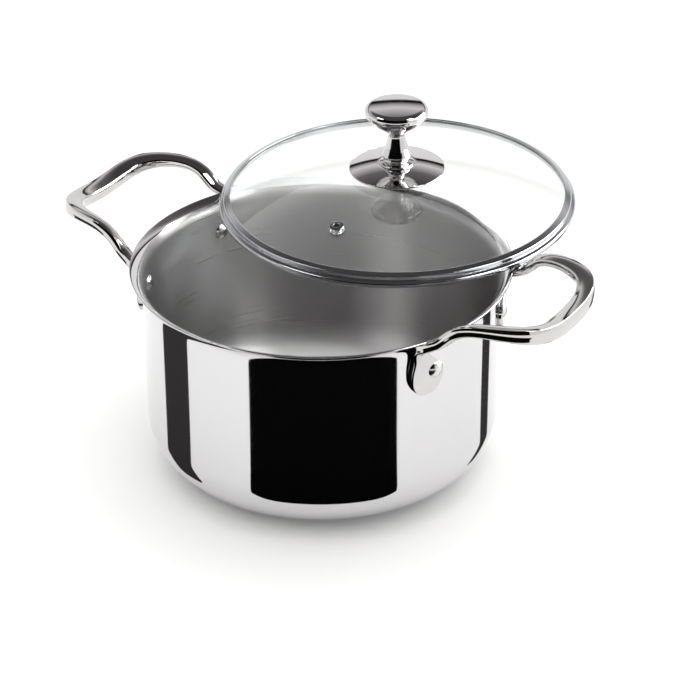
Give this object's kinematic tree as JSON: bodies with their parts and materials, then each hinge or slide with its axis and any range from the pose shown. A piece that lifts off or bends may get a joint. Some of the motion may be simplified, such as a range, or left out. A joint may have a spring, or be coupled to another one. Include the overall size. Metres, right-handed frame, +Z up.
{
  "type": "saucepot with glass lid",
  "caption": "Deep round stainless steel cooking pot with looped side handles and a domed glass lid with a turned steel knob, set down ajar on the rim.",
  "frame": {"origin": "middle of the underside, where the pot stands", "axes": "+Z up out of the pot's mouth; X through both handles; +Y the way the lid is moved off"},
  "size_m": [0.3336, 0.3126, 0.1992],
  "materials": {
    "polished_steel": "mirror-polished outside, brushed inside",
    "cast_steel": "polished stainless steel",
    "ring_steel": "rolled, satin",
    "knob_steel": "polished stainless steel",
    "aluminium": "plain",
    "glass": "clear tempered glass",
    "silicone": "matte moulded silicone",
    "fastener_steel": "zinc-plated"
  },
  "bodies": {
    "pot": {"pot_shell": "polished_steel", "base_spreader_disc": "aluminium", "base_cap": "polished_steel", "handle_right": "cast_steel", "handle_left": "cast_steel", "rivet_right_front": "cast_steel", "rivet_right_back": "cast_steel", "rivet_left_back": "cast_steel", "rivet_left_front": "cast_steel"},
    "lid": {"lid_ring": "ring_steel", "lid_glass": "glass", "vent_eyelet": "ring_steel", "knob_dish": "knob_steel", "knob_neck": "knob_steel", "knob_cap_under": "knob_steel", "knob_cap_top": "knob_steel", "knob_gasket": "silicone", "under_gasket": "silicone", "plain_washer": "fastener_steel", "spring_washer": "fastener_steel", "knob_screw": "fastener_steel"}
  },
  "joints": [
    {"name": "lid_lift", "type": "slide", "parent": "pot", "child": "lid", "axis": [0, 0, 1], "range_m": [0, 0.15]}
  ]
}
